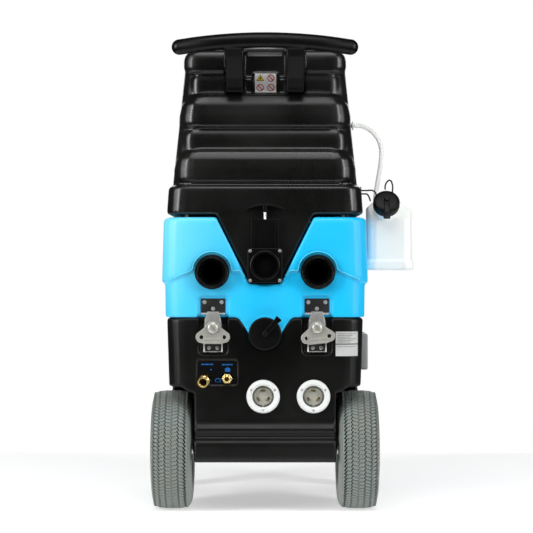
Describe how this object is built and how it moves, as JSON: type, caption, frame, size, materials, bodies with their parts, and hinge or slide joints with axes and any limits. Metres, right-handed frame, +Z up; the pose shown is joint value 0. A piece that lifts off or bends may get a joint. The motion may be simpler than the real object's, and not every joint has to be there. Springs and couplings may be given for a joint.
{
  "type": "carpet cleaner machine",
  "caption": "Walk-behind carpet extractor: blue solution tank under a black recovery tank on wheels, with hose ports, twist latches, dump valve, power inlets and a hung jug.",
  "frame": {"origin": "middle of the footprint on the floor", "axes": "+Z up, -Y towards the operator at the handle, +X towards the side with the jug"},
  "size_m": [0.58, 0.7494, 1.0352],
  "materials": {
    "black_polyethylene": "satin, faintly grained",
    "blue_polyethylene": "satin",
    "black_nylon": "satin",
    "black_rubber": "matt",
    "grey_rubber": "matt, moulded",
    "zinc_steel": "zinc plated",
    "brass": "turned",
    "white_nylon": "satin",
    "grey_nylon": "satin",
    "natural_hdpe": "translucent",
    "clear_vinyl": "flexible, clear",
    "clear_lid": "polished",
    "black_steel": "powder coated",
    "red_nylon": "gloss",
    "motor_shell": "moulded shell"
  },
  "bodies": {
    "machine": {"auto_fill_nipple": "brass", "axle": "zinc_steel", "base_housing": "black_polyethylene", "caster_plate_left": "zinc_steel", "caster_plate_right": "zinc_steel", "dump_valve_body": "black_nylon", "fitting_panel": "black_nylon", "gauge": "zinc_steel", "handle": "black_nylon", "hose_port_left": "black_rubber", "hose_port_right": "black_rubber", "inlet_core_left": "grey_nylon", "inlet_core_right": "grey_nylon", "inlet_flange_left": "white_nylon", "inlet_flange_right": "white_nylon", "latch_base_left": "zinc_steel", "latch_base_right": "zinc_steel", "latch_keeper_left": "zinc_steel", "latch_keeper_right": "zinc_steel", "lid_gasket": "black_rubber", "pump": "motor_shell", "recovery_tank": "black_polyethylene", "side_vent_cover": "grey_nylon", "siphon_elbow": "white_nylon", "siphon_tube": "clear_vinyl", "solution_outlet": "brass", "solution_tank": "blue_polyethylene", "standpipe": "white_nylon", "switch_panel": "black_nylon", "vac_motor_left": "motor_shell", "vac_motor_right": "motor_shell", "wire_hanger": "black_steel"},
    "wheel_left": {"tyre_left": "grey_rubber", "rim_left": "black_steel"},
    "caster_left": {"caster_fork_left": "zinc_steel"},
    "caster_roller_left": {"caster_wheel_left": "grey_rubber"},
    "latch_tip_left": {"latch_carrier_left": "zinc_steel"},
    "latch_turn_left": {"latch_wing_left": "zinc_steel"},
    "latch_draw_left": {"latch_hook_left": "zinc_steel"},
    "wheel_right": {"tyre_right": "grey_rubber", "rim_right": "black_steel"},
    "caster_right": {"caster_fork_right": "zinc_steel"},
    "caster_roller_right": {"caster_wheel_right": "grey_rubber"},
    "latch_tip_right": {"latch_carrier_right": "zinc_steel"},
    "latch_turn_right": {"latch_wing_right": "zinc_steel"},
    "latch_draw_right": {"latch_hook_right": "zinc_steel"},
    "dump_slider": {"dump_gate": "black_nylon", "dump_pull": "black_nylon"},
    "fill_closure": {"fill_cap": "black_nylon"},
    "lid_leaf": {"lid": "clear_lid"},
    "float_ring": {"shutoff_float": "white_nylon"},
    "jug_hung": {"jug": "natural_hdpe"},
    "jug_closure": {"jug_cap": "black_nylon"},
    "rocker_vac_one": {"switch_vac_one": "red_nylon"},
    "rocker_vac_two": {"switch_vac_two": "red_nylon"},
    "rocker_pump": {"switch_pump": "red_nylon"},
    "regulator": {"regulator_knob": "black_nylon"},
    "needle": {"gauge_needle": "red_nylon"}
  },
  "joints": [
    {"name": "wheel_spin_left", "type": "hinge", "parent": "machine", "child": "wheel_left", "pos_m": [-0.245, -0.21126, 0.13], "axis": [1, 0, 0], "continuous": true},
    {"name": "caster_swivel_left", "type": "hinge", "parent": "machine", "child": "caster_left", "pos_m": [-0.241, 0.25874, 0.12], "axis": [0, 0, 1], "continuous": true},
    {"name": "caster_spin_left", "type": "hinge", "parent": "caster_left", "child": "caster_roller_left", "pos_m": [-0.241, 0.22374, 0.051], "axis": [1, 0, 0], "continuous": true},
    {"name": "latch_tilt_left", "type": "hinge", "parent": "machine", "child": "latch_tip_left", "pos_m": [-0.1535, -0.31026, 0.378], "axis": [1, 0, 0], "range_deg": [0, 30]},
    {"name": "wing_turn_left", "type": "hinge", "parent": "latch_tip_left", "child": "latch_turn_left", "pos_m": [-0.1535, -0.32526, 0.4025], "axis": [0, 1, 0], "range_deg": [0, 180]},
    {"name": "hook_draw_left", "type": "slide", "parent": "latch_tip_left", "child": "latch_draw_left", "axis": [0, 0, 1], "range_m": [0, 0.0068]},
    {"name": "wheel_spin_right", "type": "hinge", "parent": "machine", "child": "wheel_right", "pos_m": [0.163, -0.21126, 0.13], "axis": [1, 0, 0], "continuous": true},
    {"name": "caster_swivel_right", "type": "hinge", "parent": "machine", "child": "caster_right", "pos_m": [0.159, 0.25874, 0.12], "axis": [0, 0, 1], "continuous": true},
    {"name": "caster_spin_right", "type": "hinge", "parent": "caster_right", "child": "caster_roller_right", "pos_m": [0.159, 0.22374, 0.051], "axis": [1, 0, 0], "continuous": true},
    {"name": "latch_tilt_right", "type": "hinge", "parent": "machine", "child": "latch_tip_right", "pos_m": [0.0715, -0.31026, 0.378], "axis": [1, 0, 0], "range_deg": [0, 30]},
    {"name": "wing_turn_right", "type": "hinge", "parent": "latch_tip_right", "child": "latch_turn_right", "pos_m": [0.0715, -0.32526, 0.4025], "axis": [0, 1, 0], "range_deg": [0, 180]},
    {"name": "hook_draw_right", "type": "slide", "parent": "latch_tip_right", "child": "latch_draw_right", "axis": [0, 0, 1], "range_m": [0, 0.0068]},
    {"name": "dump_lift", "type": "slide", "parent": "machine", "child": "dump_slider", "axis": [0, 0, 1], "range_m": [0, 0.055]},
    {"name": "cap_pull", "type": "slide", "parent": "machine", "child": "fill_closure", "axis": [0, -1, 0], "range_m": [0, 0.06]},
    {"name": "lid_swing", "type": "hinge", "parent": "machine", "child": "lid_leaf", "pos_m": [-0.041, -0.01326, 0.915], "axis": [1, 0, 0], "range_deg": [0, 100]},
    {"name": "float_rise", "type": "slide", "parent": "machine", "child": "float_ring", "axis": [0, 0, 1], "range_m": [0, 0.024]},
    {"name": "jug_swing", "type": "hinge", "parent": "machine", "child": "jug_hung", "pos_m": [0.228, -0.15466, 0.688], "axis": [1, 0, 0], "range_deg": [-6, 6]},
    {"name": "jug_cap_pull", "type": "slide", "parent": "jug_hung", "child": "jug_closure", "axis": [0, -0.8192, 0.5736], "range_m": [0, 0.035]},
    {"name": "rocker_tip_vac_one", "type": "hinge", "parent": "machine", "child": "rocker_vac_one", "pos_m": [-0.133, 0.35174, 0.35], "axis": [1, 0, 0], "range_deg": [-9, 9]},
    {"name": "rocker_tip_vac_two", "type": "hinge", "parent": "machine", "child": "rocker_vac_two", "pos_m": [-0.096, 0.35174, 0.35], "axis": [1, 0, 0], "range_deg": [-9, 9]},
    {"name": "rocker_tip_pump", "type": "hinge", "parent": "machine", "child": "rocker_pump", "pos_m": [-0.059, 0.35174, 0.35], "axis": [1, 0, 0], "range_deg": [-9, 9]},
    {"name": "regulator_turn", "type": "hinge", "parent": "machine", "child": "regulator", "pos_m": [0.051, 0.35874, 0.35], "axis": [0, 1, 0], "range_deg": [0, 270]},
    {"name": "needle_sweep", "type": "hinge", "parent": "machine", "child": "needle", "pos_m": [0.001, 0.36134, 0.35], "axis": [0, -1, 0], "range_deg": [0, 270], "stiffness_Nm_per_rad": 0.002}
  ],
  "couplings": [
    {"joint": "hook_draw_left", "follows": "wing_turn_left", "m_per_rad": 0.0019099},
    {"joint": "hook_draw_right", "follows": "wing_turn_right", "m_per_rad": 0.0019099}
  ]
}
